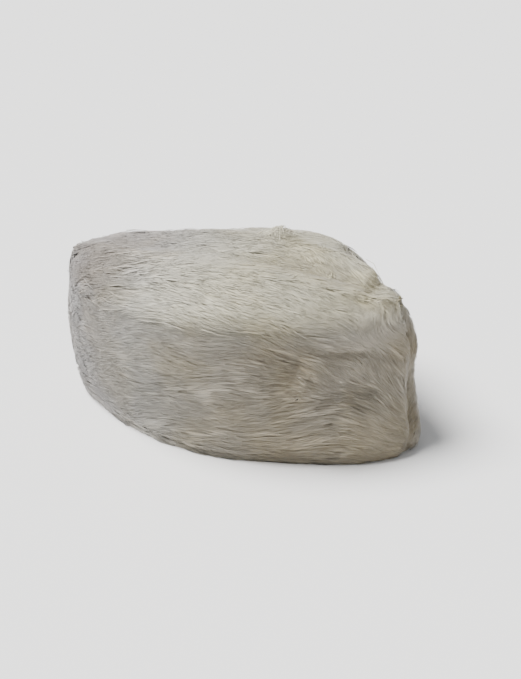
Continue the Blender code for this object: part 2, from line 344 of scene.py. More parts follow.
class Pile:
    """The fur's outer surface as one sheet: right rim, right ridge, crown, left ridge, left rim.

    u runs from the front seam at 0 to the back seam at 1. w runs over the sheet: the right
    wall from 0 to 1, the crown from 1 to 2 and the left wall from 2 at its ridge to 3."""

    def __init__(self):
        u, v = grid(GRID_U, GRID_V)
        right = panel_surface(-1, u, v * ROWS)
        crown = crown_surface(u, 2.0 * v - 1.0)
        left = panel_surface(1, u, (1.0 - v) * ROWS)
        point = np.concatenate([right, crown[:, 1:], left[:, 1:]], 1)
        for ridge in (GRID_V - 1, 2 * GRID_V - 2):
            for _ in range(RIDGE_ROUNDS):
                around = point[:, ridge - RIDGE_ROWS - 1:ridge + RIDGE_ROWS + 2]
                smoothed = 0.5 * around[:, 1:-1] + 0.25 * (around[:, 2:] + around[:, :-2])
                point[:, ridge - RIDGE_ROWS:ridge + RIDGE_ROWS + 1] = smoothed
        shoulder = slice(2 * GRID_V + SHOULDER_ROWS[0], 2 * GRID_V + SHOULDER_ROWS[1])
        height = point[:, shoulder, 2]
        filled = height.copy()
        for _ in range(FILL_ROUNDS):
            beside = filled[:, 2 * FILL_STEP:] + filled[:, :-2 * FILL_STEP]
            filled[:, FILL_STEP:-FILL_STEP] = 0.5 * filled[:, FILL_STEP:-FILL_STEP] + 0.25 * beside
        point[:, shoulder, 2] = np.maximum(height, filled)
        self.last = point.shape[1] - 1
        self.point = point
        w_of = np.linspace(0, 3, self.last + 1)[None, :] * np.ones((GRID_U, 1))
        along = point[..., 0] - BOX_SHIFT[0]
        self.to_seam = np.cumsum(np.linalg.norm(np.diff(point, axis=0, prepend=point[:1]), axis=-1), axis=0)
        self.to_back = self.to_seam[-1:] - self.to_seam
        point[..., 0] -= GROOVE_DEPTH * fade(self.to_seam, GROOVE_REACH) * on_wall(w_of)
        for at, level_at, reach_along, reach_w, height in SWELLS:
            point[..., 2] += height * bell(along, w_of, at, level_at, reach_along, reach_w)
        bed = fade(w_of - BED_W, BED_REACH_W) * np.exp(-0.5 * ((along - BED_ALONG) / BED_REACH) ** 2)
        point[..., 2] -= BED_DEPTH * bed
        pu = np.gradient(point, axis=0) * (GRID_U - 1)
        pw = np.gradient(point, axis=1) * self.last / 3.0
        self.mu = np.maximum(np.linalg.norm(pu, axis=-1), 1e-3)
        self.mw = np.maximum(np.linalg.norm(pw, axis=-1), 1e-3)
        self.tu = unit(pu)
        normal = -np.cross(pu, pw)
        self.area = np.linalg.norm(normal, axis=-1)
        normal = unit(normal)
        by_tips = np.linalg.norm(pw, axis=-1) < 0.004
        normal[by_tips] = unit(normal[by_tips] + np.array([0.0, 0.0, 1.0]))
        self.normal = normal
        soft = normal
        for _ in range(SOFT_ROUNDS):
            wide = np.pad(soft, ((0, 0), (SOFT_STEP, SOFT_STEP), (0, 0)), mode="edge")
            soft = 0.5 * soft + 0.25 * (wide[:, 2 * SOFT_STEP:] + wide[:, :-2 * SOFT_STEP])
        share = (1.0 - smooth_step(along, SOFT_FROM, SOFT_TO))[..., None]
        self.soft = unit(normal * (1.0 - share) + unit(soft) * share)
        self.up = -unit(np.cross(self.normal, self.tu))

    def read(self, field, u, w):
        a = np.clip(u, 0, 1) * (GRID_U - 1)
        b = np.clip(w / 3.0, 0, 1) * self.last
        i = np.minimum(a.astype(int), GRID_U - 2)
        j = np.minimum(b.astype(int), self.last - 1)
        fa, fb = a - i, b - j
        if field.ndim == 3:
            fa, fb = fa[..., None], fb[..., None]
        low = field[i, j] * (1 - fa) + field[i + 1, j] * fa
        high = field[i, j + 1] * (1 - fa) + field[i + 1, j + 1] * fa
        return low * (1 - fb) + high * fb


PILE = Pile()

# How the pile lies. On the right wall and the crown a turn of 0 is level as the photograph shows
# it, and on the left wall it is straight towards the front seam. A turn is in degrees towards a
# greater w: up the right wall, away over the crown, down the left wall.
# along, w, reach_along, reach_w, turn
FLOW = (
    (0.02, 0.86, 0.035, 0.13, -20),
    (-0.03, 0.8, 0.03, 0.12, -8),
    (0.086, 0.43, 0.007, 0.05, -14),
    (0.086, 0.34, 0.01, 0.05, 18),
    (0.073, 0.24, 0.014, 0.09, 24),
    (0.065, 0.1, 0.016, 0.07, 20),
    (0.102, 0.27, 0.007, 0.07, -22),
    (0.113, 0.44, 0.007, 0.06, -30),
    (0.118, 0.33, 0.005, 0.1, -45),
    (0.094, 0.51, 0.014, 0.04, -12),
    (0.11, 0.76, 0.008, 0.14, -60),
    (0.11, 0.1, 0.012, 0.06, -10),
    (0.0, 1.4, 0.03, 0.45, -20),
    (0.07, 1.55, 0.034, 0.6, -50),
    (-0.07, 1.3, 0.025, 0.4, -10),
    (0.02, 2.55, 0.04, 0.15, 12),
    (-0.06, 2.4, 0.03, 0.15, 10),
    (0.09, 2.6, 0.02, 0.2, 35),
)
SEAM_REACH = 0.013          # the pile turns down along the front seam within this distance
SEAM_TURN = 84              # by this many degrees
RIM_REACH = 0.006           # and lies along the rim within this one


def lie_of_pile(u, w, p, n, forward, up):
    """Angle at which the pile lies, from straight forward towards a greater w."""
    level = unit(np.cross(CAMERA_UP, n))
    level *= np.where(np.sum(level * forward, -1) < 0.0, -1.0, 1.0)[:, None]
    seen = (1.0 - smooth_step(w, 1.85, 2.45))[:, None]
    base = unit(level * seen + forward * (1.0 - seen))
    angle = np.arctan2(np.sum(base * up, -1), np.sum(base * forward, -1))
    x = p[:, 0] - BOX_SHIFT[0]
    for along, level_at, reach_along, reach_w, degrees in FLOW:
        angle += math.radians(degrees) * bell(x, w, along, level_at, reach_along, reach_w)
    angle += math.radians(8) * wave_noise(x, p[:, 1], p[:, 2], 0.045, 3)
    angle += math.radians(5) * wave_noise(x, p[:, 1], p[:, 2], 0.018, 4)
    to_rim = np.minimum(w, 3.0 - w) * PILE.read(PILE.mw, u, w)
    angle *= 1.0 - fade(to_rim, RIM_REACH)
    at_seam = (1.0 - np.clip(PILE.read(PILE.to_seam, u, w) / SEAM_REACH, 0.0, 1.0)) ** 1.5
    down = np.where(w > 1.5, 1.0, -1.0) * math.radians(SEAM_TURN)
    return angle * (1.0 - at_seam) + down * at_seam


def even_spread(index, base):
    """Numbers between 0 and 1 that fill the range evenly without a regular pattern."""
    result = np.zeros(len(index))
    share, left = 1.0, index.copy()
    while left.any():
        share /= base
        result += share * (left % base)
        left //= base
    return result


def scatter(count, chance, w_low, w_high):
    """Places spread by area over part of the pile, closer by the seams, the rim and as CLOSE says."""
    tries = count * 24
    start = chance.randint(1000, 5000)
    index = np.arange(start, start + tries)
    u = even_spread(index, 2)
    w = w_low + (w_high - w_low) * even_spread(index, 3)
    weight = PILE.read(PILE.area, u, w)
    to_back = PILE.read(PILE.to_back, u, w)
    to_rim = np.minimum(w, 3.0 - w) * PILE.read(PILE.mw, u, w)
    to_seam = PILE.read(PILE.to_seam, u, w)
    weight *= (1.0 + 3.0 * fade(to_back, 0.007) + 1.2 * fade(to_rim, 0.005)
               + 1.0 * fade(to_seam, 0.008)
               + 2.0 * by_place(CLOSE, PILE.read(PILE.point, u, w), w))
    weight *= on_wall(w) | (to_seam > CROWN_BARE)
    keep = np.flatnonzero(chance.uniform(size=tries) < weight / np.percentile(weight, 99.8))
    assert len(keep) >= count, (len(keep), count)
    pick = keep[np.linspace(0, len(keep) - 1, count).astype(int)]
    return u[pick], w[pick]


def lock_paths(u, w, length, turn):
    """Centre lines that start at (u, w) and follow the lie of the pile over the cap."""
    step = length / (PATH_STEPS - 1)
    points, normals, sides, softs, levels = [], [], [], [], []
    over = np.zeros((len(u), 3))
    for _ in range(PATH_STEPS):
        p = PILE.read(PILE.point, u, w)
        n = unit(PILE.read(PILE.normal, u, w))
        forward = -unit(PILE.read(PILE.tu, u, w))
        up = unit(PILE.read(PILE.up, u, w))
        angle = lie_of_pile(u, w, p, n, forward, up) + turn
        d = unit(forward * np.cos(angle)[:, None] + up * np.sin(angle)[:, None])
        points.append(p + over)
        levels.append(w)
        normals.append(n)
        softs.append(unit(PILE.read(PILE.soft, u, w)))
        sides.append(unit(np.cross(n, d)))
        new_u = u - np.cos(angle) * step / PILE.read(PILE.mu, u, w)
        move_w = np.clip(np.sin(angle) * step / PILE.read(PILE.mw, u, w), -MOST_MOVE, MOST_MOVE)
        new_w = w + move_w
        outside = (new_u < 0) | (new_u > 1) | (new_w < 0) | (new_w > 3)
        over += np.where(outside[:, None], (0.30 * d - 0.50 * n) * step[:, None], 0.0)
        u = np.where(outside, u, new_u)
        w = np.where(outside, w, new_w)
    return tuple(np.stack(part, 1) for part in (points, normals, sides, softs, levels))


def along_path(path, s):
    """Value of each strand's own path at share s of its length, s being (strands, rings)."""
    a = np.clip(s, 0, 1) * (PATH_STEPS - 1)
    i = np.minimum(a.astype(int), PATH_STEPS - 2)
    f = (a - i)[..., None]
    rows = np.arange(len(path))[:, None]
    return path[rows, i] * (1 - f) + path[rows, i + 1] * f


def put(target, key, values, kind=np.float32):
    target.foreach_set(key, np.asarray(values).reshape(-1).astype(kind))


def strand_mesh(name, shares, centre, across, out, surface_normal, radius, flat, tone, widths):
    """Closed tapered strands with three sides: rings at the first shares and a point at the end."""
    count, rings = centre.shape[0], len(shares) - 1
    verts = np.zeros((count, rings * 3 + 1, 3))
    normals = np.zeros((count, rings * 3 + 1, 3))
    for r in range(rings):
        for k in range(3):
            a = 2.0 * math.pi * k / 3.0 + math.pi / 2.0
            way = across[:, r] * math.cos(a) + out[:, r] * (flat * math.sin(a))
            verts[:, r * 3 + k] = centre[:, r] + way * (radius * widths[r])[:, None]
            rounded = unit(way) * FOLLOW_ROUNDNESS
            normals[:, r * 3 + k] = rounded + surface_normal[:, r] * FOLLOW_SURFACE
    verts[:, -1] = centre[:, -1]
    normals[:, -1] = surface_normal[:, -1]
    normals = unit(normals)
    verts[..., 2] = np.maximum(verts[..., 2], FLOOR_GAP)
    faces = []
    for r in range(rings - 1):
        for k in range(3):
            a, b = r * 3 + k, r * 3 + (k + 1) % 3
            faces += [(a, b, b + 3), (a, b + 3, a + 3)]
    last = (rings - 1) * 3
    faces += [(last + k, last + (k + 1) % 3, rings * 3) for k in range(3)]
    faces.append((2, 1, 0))
    faces = np.array(faces)
    per_strand = rings * 3 + 1
    all_faces = (faces[None] + (np.arange(count) * per_strand)[:, None, None]).reshape(-1, 3)
    mesh = bpy.data.meshes.new(name)
    mesh.vertices.add(count * per_strand)
    put(mesh.vertices, "co", verts)
    mesh.loops.add(len(all_faces) * 3)
    put(mesh.loops, "vertex_index", all_faces, np.int32)
    mesh.polygons.add(len(all_faces))
    put(mesh.polygons, "loop_start", np.arange(0, len(all_faces) * 3, 3), np.int32)
    put(mesh.polygons, "use_smooth", np.ones(len(all_faces)), bool)
    vertex_share = np.concatenate([np.repeat(shares[:rings], 3), [1.0]])
    uv = np.stack([np.repeat(tone, per_strand), np.tile(vertex_share, count)], -1)
    layer = mesh.uv_layers.new(name="strand")
    put(layer.data, "uv", uv[all_faces.reshape(-1)])
    mesh.update()
    mesh.normals_split_custom_set_from_vertices(normals.reshape(-1, 3).astype(np.float32))
    return add_object(name, mesh)


# Painted light and shade on the pile, lighter where light falls, darker in creases, hollows, fold edges, at
# the back and by the floor: along, w, reach_along, reach_w, tone
PAINTED_LIGHT_AND_SHADE = (
    (0.107, 0.37, 0.0055, 0.075, -0.32),
    (0.098, 0.5, 0.007, 0.03, 0.3),
    (0.093, 0.545, 0.005, 0.01, -0.5),
    (0.101, 0.54, 0.005, 0.01, -0.55),
    (0.109, 0.52, 0.004, 0.011, -0.55),
    (0.115, 0.49, 0.003, 0.012, -0.5),
    (0.1, 0.59, 0.012, 0.018, 0.35),
    (0.112, 0.21, 0.006, 0.06, 0.3),
    (0.105, 0.44, 0.008, 0.03, 0.05),
    (0.096, 0.44, 0.005, 0.04, -0.25),
    (0.073, 0.375, 0.005, 0.02, -0.3),
    (0.098, 0.31, 0.005, 0.025, 0.35),
    (-0.065, 0.8, 0.02, 0.13, -0.45),
    (-0.098, 0.55, 0.014, 0.45, -0.25),
    (-0.085, 1.3, 0.022, 0.3, -0.25),
    (0.085, 2.05, 0.015, 0.06, 0.4),
    (0.008, 1.95, 0.01, 0.06, 0.15),
    (-0.02, 1.9, 0.035, 0.12, -0.3),
    (0.118, 0.76, 0.006, 0.15, 0.6),
    (0.1, 0.62, 0.006, 0.04, 0.5),
    (0.003, 0.72, 0.02, 0.08, 0.25),
    (0.093, 0.98, 0.006, 0.05, 0.35),
    (-0.005, 0.56, 0.015, 0.06, 0.3),
    (-0.093, 0.36, 0.012, 0.18, -0.35),
    (-0.058, 1.15, 0.014, 0.3, -0.35),
    (0.052, 1.45, 0.018, 0.12, -0.3),
    (0.092, 0.87, 0.008, 0.05, 0.45),
    (0.09, 0.42, 0.006, 0.045, -0.45),
    (0.101, 0.235, 0.006, 0.03, 0.35),
    (0.111, 0.16, 0.005, 0.03, 0.25),
    (0.101, 0.53, 0.008, 0.02, 0.25),
    (0.119, 0.45, 0.004, 0.05, -0.45),
    (0.104, 2.12, 0.008, 0.12, 0.45),
    (0.117, 2.15, 0.005, 0.15, 0.35),
    (0.087, 0.33, 0.007, 0.024, -0.6),
    (0.102, 0.21, 0.008, 0.03, 0.35),
    (0.122, 0.24, 0.003, 0.05, -0.3),
    (0.117, 0.49, 0.005, 0.026, -0.4),
    (0.0725, 0.43, 0.003, 0.08, -0.75),
    (0.081, 0.44, 0.004, 0.07, 0.25),
    (0.065, 0.49, 0.03, 0.045, -0.3),
    (0.01, 0.86, 0.04, 0.12, 0.15),
    (-0.01, 0.57, 0.035, 0.06, 0.4),
    (-0.015, 0.47, 0.035, 0.08, 0.35),
    (0.01, 0.94, 0.025, 0.05, -0.2),
    (0.108, 0.64, 0.011, 0.05, 0.45),
    (0.0, 0.03, 0.06, 0.014, -0.1),
    (0.02, 0.07, 0.05, 0.06, -0.2),
    (0.08, 0.02, 0.018, 0.018, -0.2),
    (0.03, 1.6, 0.08, 0.3, -0.2),
    (0.04, 1.42, 0.045, 0.08, -0.35),
)
# Painted highlights, where single locks catch the light: along, w, reach_along, reach_w, tone
GLEAMS = (
    (0.0, 0.88, 0.028, 0.12, 0.6),
    (0.04, 0.9, 0.02, 0.08, 0.35),
    (0.07, 1.7, 0.02, 0.4, 0.3),
)
# Where strands stand up a little: along, w, reach_along, reach_w, height
TUFTS = (
    (0.015, 2.0, 0.005, 0.09, 0.001),
)
# Where the pile is closer than elsewhere: along, w, reach_along, reach_w, share
CLOSE = (
    (0.092, 2.12, 0.012, 0.15, 1.0),
    (0.016, 2.0, 0.006, 0.1, 1.0),
    (-0.03, 2.04, 0.06, 0.09, 0.9),
    (0.124, 2.5, 0.004, 0.35, 0.8),
)
# Where the pile lies calmer than elsewhere: along, w, reach_along, reach_w, share
CALM = (
    (-0.105, 0.5, 0.045, 0.7, 0.9),
    (-0.055, 0.85, 0.018, 0.15, 0.5),
    (0.102, 0.76, 0.018, 0.15, 0.8),
    (0.068, 0.86, 0.025, 0.1, 0.6),
    (-0.085, 1.05, 0.025, 0.25, 0.5),
    (0.0, 1.5, 0.08, 0.4, 0.35),
    (0.0, 0.28, 0.05, 0.2, 0.4),
    (0.104, 2.08, 0.012, 0.16, 0.9),
    (-0.1, 1.5, 0.025, 0.5, 0.5),
    (0.106, 0.3, 0.014, 0.15, -0.8),
    (0.085, 0.44, 0.014, 0.1, -0.5),
)
# Single bright wisps over the pile. The angle is as the photograph shows it: 0 to the right, 90 up
# along, w, reach_along, reach_w, strands, length, angle, lift, fan
WISPS = (
    (0.002, 1.97, 0.003, 0.03, 50, 0.014, 22, 0.0028, 8),
    (0.01, 1.96, 0.003, 0.03, 70, 0.01, 60, 0.0036, 14),
    (0.018, 1.95, 0.002, 0.03, 50, 0.008, 92, 0.0032, 12),
    (0.02, 1.93, 0.003, 0.04, 30, 0.007, 40, 0.0016, 16),
    (0.046, 1.83, 0.004, 0.04, 40, 0.016, -54, 0.0012, 9),
    (0.067, 1.56, 0.001, 0.03, 12, 0.009, -88, 0.0016, 4),
    (0.075, 1.83, 0.0016, 0.03, 24, 0.022, -66, 0.0016, 5),
    (0.081, 1.78, 0.002, 0.04, 16, 0.015, -60, 0.0012, 6),
    (0.05, 1.33, 0.0016, 0.04, 16, 0.013, -62, 0.001, 6),
    (0.03, 1.85, 0.006, 0.06, 30, 0.014, -30, 0.0009, 9),
    (-0.02, 0.92, 0.02, 0.06, 90, 0.018, -8, 0.001, 7),
    (-0.055, 0.98, 0.012, 0.08, 60, 0.016, -4, 0.0009, 7),
    (0.015, 0.88, 0.018, 0.05, 70, 0.02, -24, 0.001, 6),
    (0.05, 0.92, 0.016, 0.05, 40, 0.018, -18, 0.0008, 5),
    (-0.01, 1.55, 0.025, 0.15, 60, 0.014, -6, 0.0008, 9),
)


def by_place(table, p, w):
    """Sum of a table's values at places on the pile."""
    x = p[:, 0] - BOX_SHIFT[0]
    total = np.zeros(len(p))
    for along, level_at, reach_along, reach_w, value in table:
        total += value * bell(x, w, along, level_at, reach_along, reach_w)
    return total


def place_strands(name, shares, own, start, side_step, paths, owner, chance, draw, tip, root,
                  behind, size, flat, tone, widths, tilt, wild):
    """Strands laid beside their own lock's path, rising from the root's height to the tip's."""
    path_p, path_n, path_s, path_soft, _ = paths
    count = len(owner)
    s = start[:, None] + own[:, None] * shares[None]
    centre = along_path(path_p[owner], s)
    normal = unit(along_path(path_n[owner], s))
    side = unit(along_path(path_s[owner], s))
    bow = chance.normal(0.0, 0.0005, count)[:, None] * np.sin(math.pi * shares)[None]
    offset = side_step[:, None] * (1.0 - draw[:, None] * shares[None] ** 1.3) + bow
    rise = 1.0 - (1.0 - shares[None]) ** 1.8
    height = root[:, None] + (tip - root)[:, None] * rise
    centre = centre + side * offset[..., None] + normal * height[..., None]
    centre[:, 0] -= (unit(centre[:, 1] - centre[:, 0]) + 0.6 * normal[:, 0]) * behind[:, None]
    soft = unit(along_path(path_soft[owner], s))
    lean_side = (chance.normal(0.0, tilt, count) * wild)[:, None, None]
    lean_along = (chance.normal(0.0, 0.5 * tilt, count) * wild)[:, None, None]
    leaned = unit(soft + side * lean_side + unit(np.gradient(centre, axis=1)) * lean_along)
    steps = unit(np.diff(centre, axis=1))
    keep = np.sum(steps[:, 1:] * steps[:, :-1], -1).min(axis=1) > LEAST_SMOOTH
    return strand_mesh(name, shares, centre[keep], side[keep], normal[keep], leaned[keep], size[keep],
                       flat, np.clip(tone, 0.0, 1.0)[keep], widths)


FINE_SHARES, FINE_WIDTHS = (0.0, 0.36, 0.72, 1.0), (0.75, 1.0, 0.72)
# Thickness of single strands against the usual one, and how many there are of each
SIZES, SIZE_SHARES = (0.8, 1.0, 1.35, 1.8), (0.35, 0.4, 0.2, 0.05)
TOP_FROM, TOP_TO = 0.6, 2.02    # between these w a lock ends at the front seam
SEAM_ROOM = 0.001               # at most this far past it
CUT_LOW_CROWN, CUT_LOW = 0.0016, 0.0005     # the tips of locks that end there lie lower by this
# Strands lie closer and are finer within these distances of the crown's front tip
BLEND_SIDE, BLEND_SIZE, BLEND_LEAST = 0.024, 0.016, 0.15
# The roots lie higher by this at the back seam, the front seam and where CLOSE says
ROOT_BACK, ROOT_SEAM, ROOT_CLOSE = 0.0012, 0.0007, 0.0010
# A darker line down the front seam, none on the crown
SEAM_LINE, SEAM_LINE_TONE, FAR_AWAY = 0.0016, 0.5, 9.0
LOCK_TONE, STRAND_TONE = 0.35, 0.35     # how far locks differ in tone, and strands within a lock
# The painted highlights of the GLEAMS go on one lock in four
GLEAM_FROM = 0.75                       # one lock in four catches the light in the GLEAMS


def fur(name, w_low, w_high, locks, per_lock, seed, length=0.024, spread=0.0021, radius=0.00025,
        flat=0.7, shares=FINE_SHARES, widths=FINE_WIDTHS, root=-0.0022, low=0.0, high=0.0010,
        tilt=0.20):
    """Locks of strands that share a path and draw together towards their tips."""
    chance = np.random.RandomState(seed)
    shares = np.array(shares)
    u, w = scatter(locks, chance, w_low, w_high)
    to_seam = PILE.read(PILE.to_seam, u, w)
    to_back = PILE.read(PILE.to_back, u, w)
    free_length = length * chance.uniform(1.0, 1.5, locks)
    free_length *= 1.0 - 0.4 * fade(to_back, 0.010)
    on_top = (w > TOP_FROM) & (w < TOP_TO)
    path_length = np.where(on_top, np.minimum(free_length, to_seam + SEAM_ROOM), free_length)
    cut_off = 1.0 - path_length / free_length
    turn = chance.normal(0.0, math.radians(5), locks)
    paths = lock_paths(u, w, path_length, turn)
    path_p, path_w = paths[0], paths[4]
    path_to_seam = np.abs(path_p[:, MIDDLE, 0] - PILE.point[0, :, 0].max())
    path_to_seam += FAR_AWAY * on_crown(path_w[:, MIDDLE])
    owner = np.repeat(np.arange(locks), per_lock)
    count = len(owner)
    lock_lift = chance.uniform(0.0, 1.0, locks)[owner]
    lock_tone = chance.uniform(0.0, 1.0, locks)[owner]
    if per_lock > 1:
        own = chance.uniform(0.55, 0.85, count)
        start = chance.uniform(0.0, 1.0, count) * (1.0 - own)
        side_step = chance.normal(0.0, 1.0, count) * spread
    else:
        own, start, side_step = np.ones(count), np.zeros(count), np.zeros(count)
    draw = chance.uniform(*CLOSING, count)
    middle_p, middle_w = path_p[owner, MIDDLE], path_w[owner, MIDDLE]
    crowning = on_crown(w)[owner]
    from_seam, from_back = to_seam[owner], to_back[owner]
    wild = 1.0 - np.clip(by_place(CALM, middle_p, middle_w), -0.7, 0.85)
    tip = low + (high - low) * lock_lift * wild + np.abs(chance.normal(0.0, 0.0003, count)) * wild
    tip += by_place(TUFTS, middle_p, middle_w) * chance.uniform(0.5, 1.1, count)
    tip -= np.where(crowning, CUT_LOW_CROWN, CUT_LOW) * np.minimum(2.0 * cut_off[owner], 1.0)
    root_at = root + ROOT_BACK * fade(from_back, 0.008) + ROOT_SEAM * fade(from_seam, 0.008)
    root_at += ROOT_CLOSE * np.minimum(by_place(CLOSE, path_p[:, 0], w), 1.0)[owner]
    side_step *= np.where(crowning, np.clip(from_seam / BLEND_SIDE, BLEND_LEAST, 1.0), 1.0)
    behind = 0.0024 * fade(from_back, 0.003)
    size = radius * chance.choice(SIZES, count, p=SIZE_SHARES)
    size *= np.where(crowning, np.clip(from_seam / BLEND_SIZE, BLEND_LEAST, 1.0), 1.0)
    strand_tone = chance.uniform(0, 1, count)
    tone = 0.5 + wild * (LOCK_TONE * (lock_tone - 0.5) + STRAND_TONE * (strand_tone - 0.5))
    # Painted light and shade, by place on the pile
    tone += by_place(PAINTED_LIGHT_AND_SHADE, middle_p, middle_w)
    # Painted highlights on some of the locks
    gleams = chance.uniform(0.0, 1.0, locks)[owner] > GLEAM_FROM
    tone += by_place(GLEAMS, middle_p, middle_w) * gleams
    tone -= SEAM_LINE_TONE * fade(path_to_seam[owner], SEAM_LINE)
    return place_strands(name, shares, own, start, side_step, paths, owner, chance, draw, tip,
                         root_at, behind, size, flat, tone, widths, tilt, wild)


LINE_POINTS = 2001      # points along the cap at which the place of a wisp is looked up
WISP_ROOT, WISP_RADIUS, WISP_FLAT, WISP_TILT = -0.0008, 0.00026, 0.8, 0.3


def wisps(name, seed):
    """Loose bright strands that cross the pile where the photograph shows them."""
    chance = np.random.RandomState(seed)
    shares = np.array(FINE_SHARES)
    u_line = np.linspace(0.0, 1.0, LINE_POINTS)
    starts = []
    for along, level_at, reach_along, reach_w, strands, length, degrees, lift, fan in WISPS:
        w = np.clip(level_at + reach_w * chance.normal(0.0, 1.0, strands), 0.0, 3.0)
        x = along + reach_along * chance.normal(0.0, 1.0, strands)
        line = PILE.read(PILE.point, u_line, np.full(LINE_POINTS, level_at))[:, 0] - BOX_SHIFT[0]
        u = np.interp(-x, -line, u_line)
        wanted = math.radians(degrees) + math.radians(fan) * chance.normal(0.0, 1.0, strands)
        starts.append((u, w, length * chance.uniform(0.7, 1.1, strands), wanted, np.full(strands, lift)))
    u, w, length, wanted, lift = (np.concatenate([part[i] for part in starts]) for i in range(5))
    p = PILE.read(PILE.point, u, w)
    n = unit(PILE.read(PILE.normal, u, w))
    forward, up = -unit(PILE.read(PILE.tu, u, w)), unit(PILE.read(PILE.up, u, w))
    seen = np.cos(wanted)[:, None] * CAMERA_RIGHT + np.sin(wanted)[:, None] * CAMERA_UP
    facing = np.maximum(np.sum(TOWARDS_CAMERA * n, -1), 0.2)
    d = seen - TOWARDS_CAMERA * (np.sum(seen * n, -1) / facing)[:, None]
    turn = np.arctan2(np.sum(d * up, -1), np.sum(d * forward, -1)) - lie_of_pile(u, w, p, n, forward, up)
    paths = lock_paths(u, w, length, turn)
    count = len(u)
    tip = lift * chance.uniform(0.6, 1.2, count)
    size = WISP_RADIUS * chance.choice([0.8, 1.0, 1.4], count)
    # The wisps are painted bright, a painted highlight on loose strands
    tone = 0.75 + 0.25 * chance.uniform(0.0, 1.0, count)
    none, full = np.zeros(count), np.ones(count)
    return place_strands(name, shares, full, none, none, paths, np.arange(count), chance, none, tip,
                         np.full(count, WISP_ROOT), none, size, WISP_FLAT, tone, FINE_WIDTHS,
                         WISP_TILT, full)


def grid_piece(name, outer, inner, material_slots):
    """Closed sheet between two grids of points: fur ground outside, knitted back inside."""
    nu, nv = outer.shape[:2]
    verts = np.concatenate([outer.reshape(-1, 3), inner.reshape(-1, 3)])
    index = np.arange(nu * nv).reshape(nu, nv)
    a, b, c, d = index[:-1, :-1], index[1:, :-1], index[1:, 1:], index[:-1, 1:]
    front = np.stack([a, b, c, d], -1).reshape(-1, 4)
    back = (front + nu * nv)[:, ::-1]
    loop = np.concatenate([index[:, 0], index[-1, 1:], index[-2::-1, -1], index[0, -2:0:-1]])
    nxt = np.roll(loop, -1)
    rim = np.stack([nxt, loop, loop + nu * nv, nxt + nu * nv], -1)
    faces = np.concatenate([front, back, rim])
    mesh = bpy.data.meshes.new(name)
    mesh.from_pydata(verts.tolist(), [], faces.tolist())
    u, v = grid(nu, nv)
    uv = np.tile(np.stack([u, v], -1).reshape(-1, 2), (2, 1))
    layer = mesh.uv_layers.new(name="sheet")
    corners = np.zeros(len(mesh.loops), np.int32)
    mesh.loops.foreach_get("vertex_index", corners)
    put(layer.data, "uv", uv[corners])
    slots = np.zeros(len(faces))
    slots[len(front):len(front) + len(back)] = 1
    put(mesh.polygons, "material_index", slots, np.int32)
    put(mesh.polygons, "use_smooth", np.ones(len(faces)), bool)
    mesh.update()
    piece = add_object(name, mesh)
    for material in material_slots:
        mesh.materials.append(material)
    return piece


def weld_and_face_out(piece):
    """Closes the tips where points meet and turns every face outwards."""
    bm = bmesh.new()
    bm.from_mesh(piece.data)
    bmesh.ops.remove_doubles(bm, verts=bm.verts[:], dist=0.00001)
    bmesh.ops.recalc_face_normals(bm, faces=bm.faces[:])
    if bm.calc_volume(signed=True) < 0.0:
        bmesh.ops.reverse_faces(bm, faces=bm.faces[:])
    bm.to_mesh(piece.data)
    bm.free()


def fill(made, inputs):
    for key, value in inputs.items():
        made.inputs[key].default_value = value


def node(tree, kind, inputs=None, **values):
    made = tree.nodes.new("ShaderNode" + kind)
    for key, value in values.items():
        setattr(made, key, value)
    fill(made, inputs or {})
    return made


def ramp(tree, stops):
    """Colours by place along a range from 0 to 1."""
    made = node(tree, "ValToRGB")
    while len(made.color_ramp.elements) > 1:
        made.color_ramp.elements.remove(made.color_ramp.elements[-1])
    made.color_ramp.elements[0].position = stops[0][0]
    made.color_ramp.elements[0].color = (*stops[0][1], 1.0)
    for place, colour in stops[1:]:
        made.color_ramp.elements.new(place).color = (*colour, 1.0)
    return made


def map_range(tree, source, low, high):
    """Share that rises gently from 0 at low to 1 at high, where high may be the smaller."""
    made = node(tree, "MapRange", {"From Min": low, "From Max": high},
                interpolation_type="SMOOTHSTEP")
    tree.links.new(source, made.inputs["Value"])
    return made.outputs["Result"]


def multiply(tree, a, b):
    made = node(tree, "Math", operation="MULTIPLY")
    tree.links.new(a, made.inputs[0])
    tree.links.new(b, made.inputs[1])
    return made.outputs["Value"]


def tint(tree, factor, colour, by):
    """A colour multiplied by another, by a share where there is one."""
    made = node(tree, "Mix", data_type="RGBA", blend_type="MULTIPLY")
    if factor is None:
        made.inputs[0].default_value = 1.0
    else:
        tree.links.new(factor, made.inputs[0])
    tree.links.new(colour, made.inputs[6])
    if isinstance(by, tuple):
        made.inputs[7].default_value = (*by, 1.0)
    else:
        tree.links.new(by, made.inputs[7])
    return made.outputs[2]


